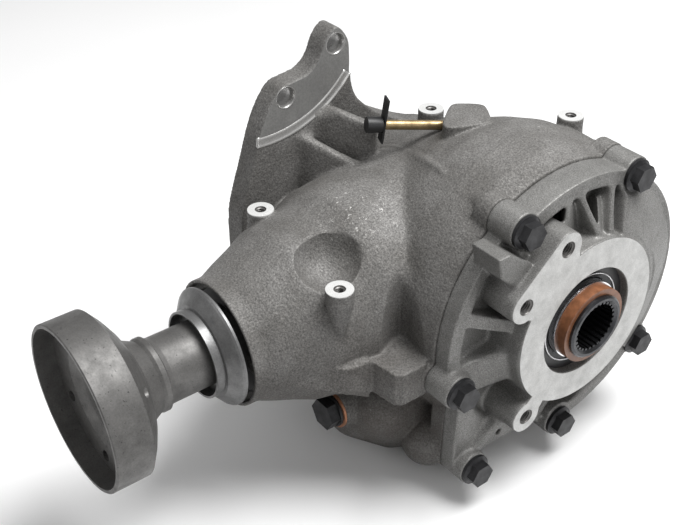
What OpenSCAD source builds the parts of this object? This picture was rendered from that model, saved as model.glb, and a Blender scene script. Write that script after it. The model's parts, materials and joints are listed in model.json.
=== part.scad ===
// Power transfer unit: takes drive from a transverse gearbox through a hollow input shaft,
// turns it through a spiral bevel pair and sends it out at a rear output flange.
// Origin: centre of the gearbox mating face on the input axis. +X out through the side cover,
// -Y towards the output flange, +Z up.

/* [Layout] */
// Distance from the gearbox face to the pinion axis
pinion_x = 75; // [74:0.5:78]
// Distance from the gearbox face to the joint of housing and cover
split_x = 163.5; // [162:0.5:166]
// Thickness of the cover's bolted rim
cover_rim_t = 19.5; // [18.5:0.5:21]
// Height of the machined pad above the rim
pad_rise = 14; // [13:0.5:16]
// Distance from the input axis to the open end of the output flange
flange_face = 289; // [286:1:300]
// Distance from the input axis to the end of the snout
snout_end = 193; // [191:0.5:196]

/* [Gears] */
// Teeth on the ring gear
ring_teeth = 37; // [35:1:38]
// Teeth on the pinion
pinion_teeth = 14; // [13:1:15]
// Module at the outer end of the teeth
gear_module = 4; // [3.8:0.05:4.1]
// Face width of both gears
face_w = 22; // [18:1:24]
// Pressure angle in degrees
pressure_angle = 20; // [18:0.5:22]
// Twist of a tooth over its face width, in degrees of the ring gear
spiral = 9; // [0:1:12]
// Play between the teeth at the pitch line, each side
tooth_play = 0.22; // [0.15:0.01:0.4]
// Depth of the ring gear's body behind its teeth
ring_body_t = 10; // [9:0.5:11]

/* [Bearings] */
// Bore radius of the two input bearings
input_bearing_r = 25; // [24:0.5:25.5]
// Outer radius of the two input bearings
input_bearing_out = 40; // [39:0.5:41]
// Width of the two input bearings
input_bearing_w = 20; // [18:0.5:21]
// Bore radius of the pinion head bearing
head_bearing_r = 20; // [19:0.5:20.5]
// Outer radius of the pinion head bearing
head_bearing_out = 36; // [35:0.5:37]
// Width of the pinion head bearing
head_bearing_w = 21; // [19:0.5:22]
// Bore radius of the pinion tail bearing
tail_bearing_r = 17.5; // [17:0.25:18]
// Outer radius of the pinion tail bearing
tail_bearing_out = 31; // [30:0.5:32]
// Width of the pinion tail bearing
tail_bearing_w = 18; // [17:0.5:19]
// Rollers in each bearing
roller_count = 17; // [14:1:18]
// Contact angle of the rollers in degrees
roller_angle = 13; // [10:0.5:15]

/* [Input shaft] */
// Outer radius of the shaft's tube
shaft_r = 27; // [26.5:0.5:28]
// Length of shaft standing out of the gearbox face
shaft_stub = 30; // [26:1:34]
// Radius over the splines of the stub
stub_r = 19; // [18:0.5:20]
// Bore radius of the inner splines, at the tips
spline_bore_r = 15.8; // [15.2:0.1:16.2]
// Depth of a spline
spline_d = 1.4; // [1:0.1:1.6]
// Splines round the shaft
spline_count = 28; // [24:1:30]
// Length of the inner splines
inner_spline_l = 22; // [20:1:24]
// Outer radius of the shaft at the cover end
shaft_end_r = 21.8; // [21.2:0.1:22.2]
// Height of the shaft's end above the pad
shaft_proud = 8.5; // [7:0.5:10]
// Outer radius of the dust ring
dust_ring_r = 25.8; // [25:0.1:26.2]
// Bolts that hold the ring gear
ring_bolt_count = 10; // [8:1:12]

/* [Output flange] */
// Outer radius of the flange
flange_r = 52; // [50:0.5:55]
// Width of the flange's rim
flange_rim_w = 23; // [20:0.5:26]
// Wall of the flange's cup
flange_wall = 2.6; // [2:0.2:4]
// Depth of the flange's cup
cup_d = 13; // [10:0.5:16]
// Radius of the flange's neck
neck_r = 21; // [20:0.5:22]
// Bolt circle radius of the flange
flange_bolt_r = 43; // [41:0.5:44]
// Radius of the flange's bolt holes
flange_hole_r = 3.6; // [3:0.1:4.2]
// Bolt holes in the flange
flange_hole_count = 6; // [4:1:8]
// Radius of the dust shield
shield_r = 38.3; // [37:0.1:39]

/* [Housing] */
// Wall of the casting
wall = 7; // [6:0.5:8]
// Radius of the snout's end
snout_r = 41.4; // [40.5:0.1:43]
// Thickness of the gearbox flange
gearbox_flange_t = 17.3; // [15:0.1:19]
// Radius of the spigot that centres the unit on the gearbox
spigot_r = 47; // [45:0.5:49]
// Length of the spigot
spigot_l = 8; // [7:0.5:10]
// Radius of the gearbox bolt holes
gearbox_hole_r = 6.5; // [5.5:0.1:7]
// Radius of a bracket boss
boss_r = 8.7; // [8:0.1:9.5]
// Radius of the tapped holes in the bosses
boss_hole_r = 3.4; // [2.5:0.1:4.25]

/* [Cover] */
// Outer radius of the bolted rim
rim_r = 95.7; // [95:0.1:97]
// Radius of the cover's bolt circle
bolt_circle_r = 94.3; // [93.5:0.1:95]
// Width of the rim's front land
rim_land = 10.5; // [9:0.5:12]
// Radius of the pad round the bore
pad_r = 58.3; // [57.5:0.1:59.5]
// Radius of the seal bore in the pad
seal_bore_r = 37.3; // [36:0.1:38.5]
// Radius of the pad's tapped holes
pad_hole_r = 5; // [4.25:0.1:6]
// Radius of a bolt lobe on the rim
lobe_r = 11.5; // [11:0.5:12.5]
// Distance across the flats of a cover bolt
bolt_flats = 15; // [13:0.5:16]
// Radius of the bolt's washer face
bolt_washer_r = 10.6; // [10:0.2:11]
// Height of the bolt's hexagon
bolt_head_h = 9; // [8:0.5:11]

/* [Breather] */
// Radius of the breather tube
tube_r = 3.2; // [2.5:0.1:4]
// Length of the breather tube outside the vent box
tube_l = 42; // [38:1:44]
// Radius of the rubber cap
cap_r = 5.2; // [4.6:0.1:6]

/* [Hidden] */

// Fits and clearances
run_gap = 0.3;
fit_gap = 0.02;
cut = 1;
$fn = 64;

// Planes along the input axis
rim_x = split_x + cover_rim_t;
pad_x = rim_x + pad_rise;
shaft_end_x = pad_x + shaft_proud;

// Bevel pair: both cones meet where the two axes cross
ring_pitch_r = gear_module * ring_teeth / 2;
pinion_pitch_r = gear_module * pinion_teeth / 2;
cone_l = sqrt(ring_pitch_r * ring_pitch_r + pinion_pitch_r * pinion_pitch_r);
pinion_cone = atan(pinion_teeth / ring_teeth);
ring_cone = 90 - pinion_cone;
addendum = gear_module;
dedendum = 1.25 * gear_module;
inner_share = (cone_l - face_w) / cone_l;

// Point of a bevel gear's section: [radius, distance along its axis from the apex]
function cone_point(cone, share, h) =
    [share * (cone_l * sin(cone) + h * cos(cone)), share * (cone_l * cos(cone) - h * sin(cone))];

ring_root = cone_point(ring_cone, 1, -dedendum);
ring_back_x = pinion_x + ring_root[1] + ring_body_t;
ring_bore_r = 40;
ring_flange_t = 9;
ring_bolt_circle = 50.5;
ring_bolt_r = 4;
ring_bolt_depth = 11;
ring_bolt_head_r = 6.2;
ring_bolt_head_h = 6;
pinion_back = cone_point(pinion_cone, 1, 0)[1] + 8;

// Input bearings stand against shoulders of the shaft
left_bearing_x = 14;
right_bearing_x = split_x - 3;
shoulder_r = input_bearing_r + 5;
spigot_bore_r = 30;
left_seal_x = 3;
left_seal_w = 9;

// Pinion bearings, measured along the pinion axis from the input axis
depth_shim_t = 1.5;
head_bearing_h = pinion_back + depth_shim_t;
tail_bearing_h = snout_end - 43;
pinion_seal_h = snout_end - 17;
pinion_seal_w = 10;
snout_bore_r = 34;
spline_shaft_r = 14;
thread_r = 11;
nut_recess_r = 20.5;
nut_h = 11;
neck_end = flange_face - 43;
web_h = flange_face - cup_d;
nut_seat_h = flange_face - 36;
flange_hole_turn = 32;

// Seals of the input shaft
cover_seal_x = pad_x - 13;
cover_seal_w = 7;
sleeve_r = 26.7;
sleeve_end_x = pad_x - 2;
shaft_seal_r = 23;

// Angles of the cover bolts on their circle, and the one that stands in the lower corner, as [y, z]
bolt_angles = [122.1, 62.2, 191.5, 271.4, 321.3];
corner_bolt = [-74.9, -93];
cover_bolts_at = concat([for (a = bolt_angles) bolt_circle_r * [cos(a), sin(a)]], [corner_bolt]);
bolt_shank_r = 5;
bolt_l = 40;
dowel_circle_r = rim_r - 5.3;
rim_dowels_at = [for (a = [165, 345]) dowel_circle_r * [cos(a), sin(a)]];
dowel_r = 4;
dowel_l = 14;

// Tapped holes of the pad, as [y, z]
pad_holes_at = [[-27, 65], [-57.5, 37.5], [-46.5, -54]];
pad_lobe_r = 11.5;

// Holes of the gearbox flange, as [y, z]: the two of the tall ear come first
gearbox_holes_at = [[-57.3, 137.7], [-96.5, 112], [-119, -22], [-20, -92], [64, -62], [84, 12]];
gearbox_dowels_at = [[-112, 40], [76, -28]];

// Bracket bosses: [x, y, z of the top, height, radius of the foot]
bosses = [[129, -141, 49, 36, 3], [38, -134, 55, 24, 10], [46, -1, 87, 24, 10], [110, 65, 87, 22, 10]];
boss_top_h = 8;

// Drain plug in the sump wall
drain_x = 108;
drain_z = -64;
drain_face = 130;
drain_boss_r = 14;
drain_plug_r = 9;

// Vent box and breather
vent_at = [75.7, 1.3];
vent_outline = [[66, -2], [68, 5], [77, 14], [84, 13], [97, 4], [98, -3], [90, -22], [83, -24],
    [74, -14]];
vent_base = 70;
vent_top = 98;
vent_side = 14.5;
tube_dir = 247;
tube_tilt = 8;
tube_z = 86;

// Smooth closed outline through a few points, by cubic pieces between them
function wrap(p, i) = p[(i + len(p)) % len(p)];
function bend(p, i, t) =
    0.5 * ((2 * wrap(p, i))
        + (wrap(p, i + 1) - wrap(p, i - 1)) * t
        + (2 * wrap(p, i - 1) - 5 * wrap(p, i) + 4 * wrap(p, i + 1) - wrap(p, i + 2)) * t * t
        + (3 * wrap(p, i) - wrap(p, i - 1) - 3 * wrap(p, i + 1) + wrap(p, i + 2)) * t * t * t);
function smooth_outline(p, steps) = [for (i = [0:len(p) - 1], s = [0:steps - 1]) bend(p, i, s / steps)];

// Plane across the input axis: local x is Y, local y is Z, local z is X
module across_input(x) {
    translate([x, 0, 0]) rotate([90, 0, 90]) children();
}

// Body turned about the input axis from points [radius, x]
module turned_input(points) {
    across_input(0) rotate_extrude() polygon(points);
}

// Local z runs along the pinion axis towards the output flange
module along_pinion(h) {
    translate([pinion_x, -h, 0]) rotate([90, 0, 0]) children();
}

// Body turned about the pinion axis from points [radius, distance from the input axis]
module turned_pinion(points) {
    along_pinion(0) rotate_extrude() polygon(points);
}

// Lower corner of the rim, where the outline leaves the circle to reach the corner bolt
corner_outline = [[-84, -40], [-85.5, -52], [-86.4, -93], [-74.9, -104.5], [-64, -92], [-52, -89.5],
    [-30, -91], [0, 0]];

// Outline of the bolted rim, in [y, z]
module rim_outline(grow = 0) {
    circle(r = rim_r + grow, $fn = 128);
    polygon(corner_outline);
    for (p = cover_bolts_at) translate(p) circle(r = lobe_r + grow);
}

// Housing's drum round the input axis, as [radius, x]
drum_profile = [
    [0, 2], [62, 2], [70, 30], [83, 63], [92.5, 86], [98.5, 105], [101.5, 128], [100.5, 148], [rim_r + 1,
        split_x + cut],
    [0, split_x + cut]
];

// Housing round the pinion, as [radius, distance from the input axis]
snout_profile = [
    [0, 20], [73, 20], [75.5, 42], [73, 56], [72, 76], [71, 93], [69, 106], [63, 119], [57.6, 147],
    [51.7, 160], [46.3, 174], [42.2, 183], [snout_r, 186], [snout_r, snout_end], [0, snout_end]
];

module gearbox_flange() {
    across_input(0) linear_extrude(gearbox_flange_t) polygon(smooth_outline([
        [-56, 148.5], [-65, 142], [-71, 130], [-79, 123], [-90, 121], [-99, 119.5], [-106, 113], [-112,
            104], [-118, 91],
        [-125, 70], [-132, 50], [-136, 30], [-135, -20], [-120, -38], [-80, -62], [-38, -96], [-14, -106],
            [10, -90],
        [54, -76], [74, -74], [80, -52], [94, -10], [95, 16], [84, 26], [50, 44], [12, 61], [-3, 68],
            [-21, 78], [-33, 87.5],
        [-42, 98], [-46, 111], [-46, 125], [-47.5, 139]
    ], 4));
}

// Wall between two points of a plane across the input axis: width and the heights of its two ends
module wall_between(p, q, w, base, top_p, top_q) {
    d = q - p;
    across_input(0) translate(p) rotate(atan2(d[1], d[0])) translate([0, w / 2, 0]) rotate([90, 0, 0])
        linear_extrude(w) polygon([[0, base], [0, top_p], [norm(d), top_q], [norm(d), base]]);
}

// Ribs that carry the ear's load into the drum: foot on the ear, far end, as [x, y, z of the top]
ear_ribs_at = [[[0, -84, 109], [46, -47.6, 89.7]], [[0, -99, 94], [50, -59, 64]]];
ear_rib_t = 8;

module ear_ribs() {
    intersection() {
        across_input(1) linear_extrude(split_x) square(400, center = true);
        for (r = ear_ribs_at) ear_rib(r);
    }
}

module ear_rib(r) {
    d = r[1] - r[0];
    reach = norm([d[0], d[1]]);
    translate([r[0][0], r[0][1], 0]) rotate([0, 0, atan2(d[1], d[0])])
        translate([0, ear_rib_t / 2, 0]) rotate([90, 0, 0])
        linear_extrude(ear_rib_t) polygon([[0, 20], [0, r[0][2]], [reach, r[1][2]], [reach, 20]]);
}

module bracket_boss(b) {
    translate([b[0], b[1], b[2] - b[3]]) cylinder(r1 = b[4], r2 = boss_r, h = b[3] - boss_top_h);
    translate([b[0], b[1], b[2] - boss_top_h - 0.5]) cylinder(r = boss_r, h = boss_top_h + 0.5);
}

// Oil sump below the snout and its foot beside the rim, as spheres [x, y, z, radius]
sump_at = [[100, -104, -82, 22], [120, -102, -66, 22], [110, -84, -98, 20], [124, -72, -92, 20],
    [106, -10, -60, 36]];
foot_at = [[145, -81, -91, 18.5], [140, -66, -102, 18], [120, -60, -84, 20], [146, -36, -74, 16]];
sump_inside_at = [[100, -100, -78, 14], [112, -80, -90, 13], [132, -74, -84, 14], [132, -36, -60, 18]];

module sump() {
    for (group = [sump_at, foot_at]) hull() {
        for (s = group) translate([s[0], s[1], s[2]]) sphere(r = s[3], $fn = 32);
    }
    translate([drain_x, -drain_face, drain_z]) rotate([-90, 0, 0]) cylinder(r1 = drain_boss_r,
        r2 = drain_boss_r + 3, h = 30);
}

// Ledge along the snout that ends in a square block beside the cover: outline in [x, y] and side in [y, z]
ledge_top = -5;
ledge_outline = [
    [130, -96], [160, -99], [162.5, -102], [162.5, -119], [159, -123.5], [141, -126], [140, -133], [138,
        -141], [131, -150],
    [121, -165], [113, -181], [108, -188], [80, -188], [80, -96]
];
ledge_side = [[-90, ledge_top], [-192, ledge_top], [-192, -13], [-170, -18], [-150, -24], [-128, -29],
    [-90, -29]];

module shelf_block() {
    intersection() {
        translate([0, 0, ledge_top - 60]) linear_extrude(60) polygon(ledge_outline);
        across_input(60) linear_extrude(120) polygon(ledge_side);
    }
}

module housing_outside() {
    turned_input(drum_profile);
    turned_pinion(snout_profile);
    gearbox_flange();
    across_input(-spigot_l) cylinder(r = spigot_r, h = spigot_l + cut);
    // joint flange, with a column behind each bolt
    across_input(split_x - 12) linear_extrude(12) rim_outline(0.6);
    for (p = cover_bolts_at) across_input(split_x - 26) translate(p) cylinder(r1 = lobe_r - 6,
        r2 = lobe_r + 0.6, h = 26);
    ear_ribs();
    for (b = bosses) bracket_boss(b);
    sump();
    shelf_block();
    translate([0, 0, vent_base]) linear_extrude(vent_top - vent_base)
        polygon(smooth_outline(vent_outline, 4));
}

// Space inside the housing round the input axis, as [radius, x]
chamber_profile = [
    [0, 24], [46, 24], [60, 34], [74, 62], [82, 84], [rim_r - rim_land - 1, 98], [rim_r - rim_land - 1,
        split_x + cut], [0, split_x + cut]
];
bearing_boss_r = input_bearing_out + wall - 0.6;

module housing_inside() {
    // chamber of the ring gear; the boss of the left bearing stands inside it
    difference() {
        turned_input(chamber_profile);
        across_input(0) cylinder(r = bearing_boss_r, h = left_bearing_x + input_bearing_w);
        along_pinion(0) translate([0, 0, head_bearing_h - 2]) cylinder(r = head_bearing_out + wall,
            h = 60);
    }
    // seats of the left bearing and the gearbox-side seal
    across_input(left_bearing_x) cylinder(r = input_bearing_out, h = split_x);
    across_input(left_seal_x - cut) cylinder(r = input_bearing_out - 5, h = 40);
    across_input(-spigot_l - cut) cylinder(r = spigot_bore_r, h = 60);
    // pinion bore from the chamber out to the snout
    along_pinion(30) cylinder(r = head_bearing_out, h = head_bearing_h + head_bearing_w - 30);
    along_pinion(30) cylinder(r = head_bearing_out - 6, h = snout_end - 30 + cut);
    along_pinion(tail_bearing_h) cylinder(r = tail_bearing_out, h = snout_end);
    along_pinion(tail_bearing_h + tail_bearing_w) cylinder(r = snout_bore_r, h = snout_end);
    along_pinion(snout_end - 5) cylinder(r = snout_r - 2.4, h = 5 + cut);
    // oil spaces round the head bearing's boss, behind the tail bearing and in the sump
    turned_pinion([[head_bearing_out + wall - 1, 50], [60, 50], [58, 74], [47, 88],
        [head_bearing_out + wall - 1, 88]]);
    hull() for (s = sump_inside_at) translate([s[0], s[1], s[2]]) sphere(r = s[3], $fn = 24);
    turned_pinion([[0, head_bearing_h + head_bearing_w + 5], [44, head_bearing_h + head_bearing_w + 5],
        [52, 118], [49, 134], [42, tail_bearing_h - 8], [0, tail_bearing_h - 8]]);
}

// Spot face of the ear, in [y, z], and hollows of the snout's side
ear_face_d = 1.5;
ear_face_at = [-111, 168];
ear_face_r = 83.6;
valley_outline = [[131, -97], [158, -99], [176, -102], [176, -150], [143, -134], [141, -124]];
dimple_at = [109.6, -127, 65];

module main_housing() {
    color("dimgray") difference() {
        housing_outside();
        housing_inside();
        // joint face of the cover
        across_input(split_x) cylinder(r = 300, h = 100);
        translate([drain_x, -drain_face, drain_z]) rotate([90, 0, 0]) cylinder(r = drain_boss_r, h = 30);
        // spot face of the ear
        across_input(gearbox_flange_t - ear_face_d) translate(ear_face_at) cylinder(r = ear_face_r,
            h = 30, $fn = 128);
        // hollows in the snout's side, above the ledge and beside a boss
        translate([0, 0, ledge_top]) linear_extrude(46) polygon(smooth_outline(valley_outline, 3));
        translate(dimple_at) sphere(r = 17);
        for (p = gearbox_holes_at) across_input(-cut) translate(p) cylinder(r = gearbox_hole_r,
            h = gearbox_flange_t + 2 * cut);
        for (p = gearbox_dowels_at) across_input(-cut) translate(p) cylinder(r = dowel_r,
            h = dowel_l / 2 + cut);
        for (p = cover_bolts_at) across_input(rim_x + 5 - bolt_l - 3) translate(p)
            cylinder(r = bolt_shank_r, h = bolt_l);
        for (p = rim_dowels_at) across_input(split_x - dowel_l / 2) translate(p) cylinder(r = dowel_r,
            h = dowel_l);
        for (b = bosses) translate([b[0], b[1], b[2] - 18]) cylinder(r = boss_hole_r, h = 20);
        // spigot groove
        across_input(-spigot_l + 2.5) difference() {
            cylinder(r = spigot_r + cut, h = 3);
            translate([0, 0, -cut]) cylinder(r = spigot_r - 2.4, h = 3 + 2 * cut);
        }
        translate([drain_x, -drain_face - cut, drain_z]) rotate([-90, 0, 0]) cylinder(r = drain_plug_r,
            h = 50);
        // breather passage
        at_breather() cylinder(r = tube_r, h = 30);
        translate([vent_at[0], vent_at[1], 60]) cylinder(r = 3, h = tube_z - 60);
    }
}

// Pad, bosses and ribs of the cover
function across(v) = [v[1], -v[0]] / norm(v);

module pad_outline() {
    circle(r = pad_r, $fn = 128);
    for (p = pad_holes_at) {
        translate(p) circle(r = pad_lobe_r);
        polygon([p + 9 * across(p), p - 9 * across(p), [0, 0]]);
    }
    // straight edge between the two upper holes
    side = across(pad_holes_at[1] - pad_holes_at[0]);
    polygon([pad_holes_at[0] + pad_lobe_r * side, pad_holes_at[1] + pad_lobe_r * side, [0, 0]]);
}

module sector(from, to, r) {
    polygon(concat([[0, 0]],
        [for (i = [0:8]) let (a = from + (to - from) * i / 8) r * [cos(a), sin(a)]]));
}

// Smooth side of the cover between the pad and the rim, as [radius, height above the joint]
dome_from = -44;
dome_to = 66;
pad_h = cover_rim_t + pad_rise;
dome_profile = [
    [0, 0], [rim_r, 0], [rim_r, cover_rim_t - 8], [rim_r - 1.5, cover_rim_t - 4.5],
    [rim_r - 5.2, cover_rim_t], [rim_r - 12.5, cover_rim_t + 3.5], [rim_r - 22.5, cover_rim_t + 7.5],
    [pad_r + 3, pad_h - 2], [0, pad_h - 2]
];

module dome() {
    intersection() {
        across_input(split_x) rotate_extrude($fn = 128) polygon(dome_profile);
        across_input(split_x) linear_extrude(pad_h) sector(dome_from, dome_to, 2 * rim_r);
    }
}

// Low side of the rim, between the top bolt and the bottom one
low_from = 128;
low_to = 266;
low_rim_t = cover_rim_t - 7.5;

// Ribs of the cover: foot and far end as [y, z], width, heights of both ends above the joint
cover_ribs = [
    [[9, 52], [-6, 90], 5, pad_h - 2, cover_rim_t],
    [[15, 52], [24, 84], 5, pad_h - 2, cover_rim_t + 1],
    [[-34, 34], [-60, 62], 21, pad_h - 10, pad_h - 12],
    [[-46, 12], [-84, 27], 9, pad_h - 6, low_rim_t],
    [[-44, -14], [-88, -20], 26, pad_h - 8, low_rim_t - 0.5],
    [[-40, -50], [-72, -88], 10, pad_h - 8, low_rim_t + 1],
    [[-8, -50], [-12, -90], 6, pad_h - 7, low_rim_t + 2],
    [[32, -44], [47, -70], 5, pad_h - 6, cover_rim_t - 2],
    [[20, -50], [28, -80], 5, pad_h - 6, cover_rim_t - 2]
];
pocket_floor = 6;

module side_cover() {
    color("darkgray") difference() {
        union() {
            difference() {
                union() {
                    across_input(split_x) linear_extrude(cover_rim_t) rim_outline();
                    dome();
                }
                // low land on the side of the snout, and the recess between pad and rim
                across_input(split_x + low_rim_t) linear_extrude(60) difference() {
                    sector(low_from, low_to, 2 * rim_r);
                    for (p = cover_bolts_at) translate(p) circle(r = lobe_r);
                }
                across_input(split_x + pocket_floor) linear_extrude(60) difference() {
                    circle(r = rim_r - rim_land, $fn = 128);
                    sector(dome_from, dome_to, 2 * rim_r);
                    for (p = cover_bolts_at) translate(p) circle(r = lobe_r + 2);
                }
            }
            across_input(split_x) linear_extrude(pad_h) pad_outline();
            intersection() {
                for (r = cover_ribs) wall_between(r[0], r[1], r[2], split_x, split_x + r[3],
                    split_x + r[4]);
                across_input(split_x) linear_extrude(pad_h) rim_outline();
            }
            // hub that carries the right bearing
            across_input(right_bearing_x) cylinder(r = input_bearing_out + 6, h = cover_rim_t);
        }
        // space behind the smooth side
        intersection() {
            across_input(split_x - cut) rotate_extrude() polygon([
                [input_bearing_out + 9, 0], [input_bearing_out + 9, pad_h - 16], [rim_r - 26,
                    cover_rim_t], [rim_r - rim_land, cover_rim_t - 8],
                [rim_r - rim_land, 0]
            ]);
            across_input(split_x - 2 * cut) linear_extrude(pad_h) sector(dome_from + 8, dome_to - 8,
                2 * rim_r);
        }
        across_input(right_bearing_x - cut) cylinder(r = input_bearing_out,
            h = input_bearing_w + 2 + cut);
        across_input(right_bearing_x) cylinder(r = input_bearing_out - 6, h = 60);
        across_input(cover_seal_x) cylinder(r = seal_bore_r, h = 40);
        for (p = cover_bolts_at) {
            across_input(split_x - cut) translate(p) cylinder(r = bolt_shank_r + 0.5,
                h = cover_rim_t + 2 * cut);
            across_input(rim_x) translate(p) cylinder(r = bolt_washer_r + 1.5, h = 60);
        }
        for (p = rim_dowels_at) across_input(split_x - cut) translate(p) cylinder(r = dowel_r,
            h = dowel_l / 2 + cut);
        for (p = pad_holes_at) across_input(pad_x - 22) translate(p) cylinder(r = pad_hole_r, h = 30);
        // small drain hole of the cover's lower corner
        across_input(split_x - cut) translate([-46, -84]) cylinder(r = 2, h = 60);
    }
}

module cover_bolt() {
    // flange bolt whose washer face sits at local z = 0
    cylinder(r = bolt_washer_r, h = 2);
    translate([0, 0, 2 - 0.01]) cylinder(r1 = bolt_washer_r - 0.5, r2 = bolt_flats / 2, h = 1.5);
    cylinder(r = bolt_flats / sqrt(3), h = bolt_head_h, $fn = 6);
    translate([0, 0, -bolt_l + 5]) cylinder(r = bolt_shank_r - fit_gap, h = bolt_l);
}

module cover_bolts() {
    color("#2b2b2d") for (p = cover_bolts_at) across_input(rim_x) translate(p) cover_bolt();
}

module cover_dowels() {
    color("silver") for (p = rim_dowels_at) across_input(split_x - dowel_l / 2 + 0.5) translate(p)
        cylinder(r = dowel_r - fit_gap, h = dowel_l - 1);
}

module gearbox_dowels() {
    color("silver") for (p = gearbox_dowels_at) across_input(-dowel_l / 2 + 0.5) translate(p)
        cylinder(r = dowel_r - fit_gap, h = dowel_l - 1);
}

module spigot_seal() {
    color("#1c1c1c") across_input(-spigot_l + 4) rotate_extrude() translate([spigot_r - 1.05, 0])
        circle(r = 1.2, $fn = 24);
}

module oil_seal(shaft, bore, w) {
    // pressed steel case with a rubber lip, open side at local z = 0
    rotate_extrude() polygon([
        [bore - fit_gap, 0], [bore - fit_gap, w], [shaft + 3.5, w], [shaft + run_gap, w - 1.2],
            [shaft + run_gap, w - 2.6],
        [shaft + 3.6, w - 3.4], [shaft + 3.6, w - 1.6], [bore - 2, w - 1.6], [bore - 2, 0]
    ]);
}

module gearbox_side_seal() {
    color("#3a2420") across_input(left_seal_x + left_seal_w) mirror([0, 0, 1])
        oil_seal(input_bearing_r, input_bearing_out - 5, left_seal_w);
}

module cover_side_seal() {
    color("#1c1c1c") across_input(cover_seal_x) oil_seal(sleeve_r, seal_bore_r, cover_seal_w);
}

module seal_spring() {
    color("silver") across_input(cover_seal_x + cover_seal_w + 0.55) rotate_extrude()
        translate([sleeve_r + 4.2, 0])
        circle(r = 0.5, $fn = 16);
}

module pinion_seal() {
    color("#3a2420") along_pinion(pinion_seal_h) oil_seal(neck_r, snout_bore_r, pinion_seal_w);
}

// Tapered roller bearings. Local z runs along the shaft, rollers widen with z
function mid_r(bore, out) = (bore + out) / 2 + 0.3;
function roller_r(bore, out) = 0.19 * (out - bore);
function apex_l(bore, out) = mid_r(bore, out) / tan(roller_angle);
function roller_half(bore, out) = atan(roller_r(bore, out) * cos(roller_angle) / apex_l(bore, out));
function cup_race(bore, out, z) = (apex_l(bore, out) + z) * tan(roller_angle + roller_half(bore, out));
function cone_race(bore, out, z) = (apex_l(bore, out) + z) * tan(roller_angle - roller_half(bore, out));

module bearing_cup(bore, out, w) {
    h = 0.42 * w;
    rotate_extrude() polygon([
        [out - fit_gap, -h], [out - fit_gap, h], [cup_race(bore, out, h), h], [cup_race(bore, out, -h),
            -h]
    ]);
}

module bearing_cone(bore, out, w) {
    h = 0.5 * w;
    land = 0.345 * w;
    rotate_extrude() polygon([
        [bore + fit_gap, -h], [cone_race(bore, out, -land) + 1, -h], [cone_race(bore, out, -land) + 1,
            -land],
        [cone_race(bore, out, -land), -land], [cone_race(bore, out, land), land],
        [cone_race(bore, out, land) + 2, land], [cone_race(bore, out, land) + 2, h], [bore + fit_gap, h]
    ]);
}

module bearing_rollers(bore, out, w) {
    rr = roller_r(bore, out) - 0.08;
    half = 0.3 * w;
    taper = half * tan(roller_half(bore, out));
    for (i = [0:roller_count - 1]) rotate([0, 0, i * 360 / roller_count])
        translate([mid_r(bore, out), 0, 0]) rotate([0, roller_angle, 0])
            cylinder(r1 = rr - taper, r2 = rr + taper, h = 2 * half, center = true, $fn = 24);
}

module bearing_cage(bore, out, w) {
    rr = roller_r(bore, out) + 0.25;
    half = 0.3 * w;
    h = 0.38 * w;
    t = 0.6;
    m = mid_r(bore, out);
    slope = tan(roller_angle);
    difference() {
        rotate_extrude() polygon([
            [m - h * slope - t, -h], [m - h * slope + t, -h], [m + h * slope + t, h], [m + h * slope - t,
                h]
        ]);
        for (i = [0:roller_count - 1]) rotate([0, 0, i * 360 / roller_count])
            translate([m, 0, 0]) rotate([0, roller_angle, 0])
                cube([6 * t, 2 * rr, 2 * half + 2 * run_gap], center = true);
    }
}

// The left bearing opens towards the gearbox and the right one towards the cover
module at_left_bearing() {
    across_input(left_bearing_x + input_bearing_w / 2) mirror([0, 0, 1]) children();
}
module at_right_bearing() {
    across_input(right_bearing_x + input_bearing_w / 2) children();
}
module at_head_bearing() {
    along_pinion(head_bearing_h + head_bearing_w / 2) mirror([0, 0, 1]) children();
}
module at_tail_bearing() {
    along_pinion(tail_bearing_h + tail_bearing_w / 2) children();
}

module left_bearing_cup() {
    color("silver") at_left_bearing() bearing_cup(input_bearing_r, input_bearing_out, input_bearing_w);
}
module left_bearing_cone() {
    color("silver") at_left_bearing() bearing_cone(input_bearing_r, input_bearing_out, input_bearing_w);
}
module left_rollers() {
    color("lightgray") at_left_bearing() bearing_rollers(input_bearing_r, input_bearing_out,
        input_bearing_w);
}
module left_cage() {
    color("gray") at_left_bearing() bearing_cage(input_bearing_r, input_bearing_out, input_bearing_w);
}
module right_bearing_cup() {
    color("silver") at_right_bearing() bearing_cup(input_bearing_r, input_bearing_out, input_bearing_w);
}
module right_bearing_cone() {
    color("silver") at_right_bearing() bearing_cone(input_bearing_r, input_bearing_out, input_bearing_w);
}
module right_rollers() {
    color("lightgray") at_right_bearing() bearing_rollers(input_bearing_r, input_bearing_out,
        input_bearing_w);
}
module right_cage() {
    color("gray") at_right_bearing() bearing_cage(input_bearing_r, input_bearing_out, input_bearing_w);
}
module head_bearing_cup() {
    color("silver") at_head_bearing() bearing_cup(head_bearing_r, head_bearing_out, head_bearing_w);
}
module head_bearing_cone() {
    color("silver") at_head_bearing() bearing_cone(head_bearing_r, head_bearing_out, head_bearing_w);
}
module head_rollers() {
    color("lightgray") at_head_bearing() bearing_rollers(head_bearing_r, head_bearing_out,
        head_bearing_w);
}
module head_cage() {
    color("gray") at_head_bearing() bearing_cage(head_bearing_r, head_bearing_out, head_bearing_w);
}
module tail_bearing_cup() {
    color("silver") at_tail_bearing() bearing_cup(tail_bearing_r, tail_bearing_out, tail_bearing_w);
}
module tail_bearing_cone() {
    color("silver") at_tail_bearing() bearing_cone(tail_bearing_r, tail_bearing_out, tail_bearing_w);
}
module tail_rollers() {
    color("lightgray") at_tail_bearing() bearing_rollers(tail_bearing_r, tail_bearing_out,
        tail_bearing_w);
}
module tail_cage() {
    color("gray") at_tail_bearing() bearing_cage(tail_bearing_r, tail_bearing_out, tail_bearing_w);
}

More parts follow.
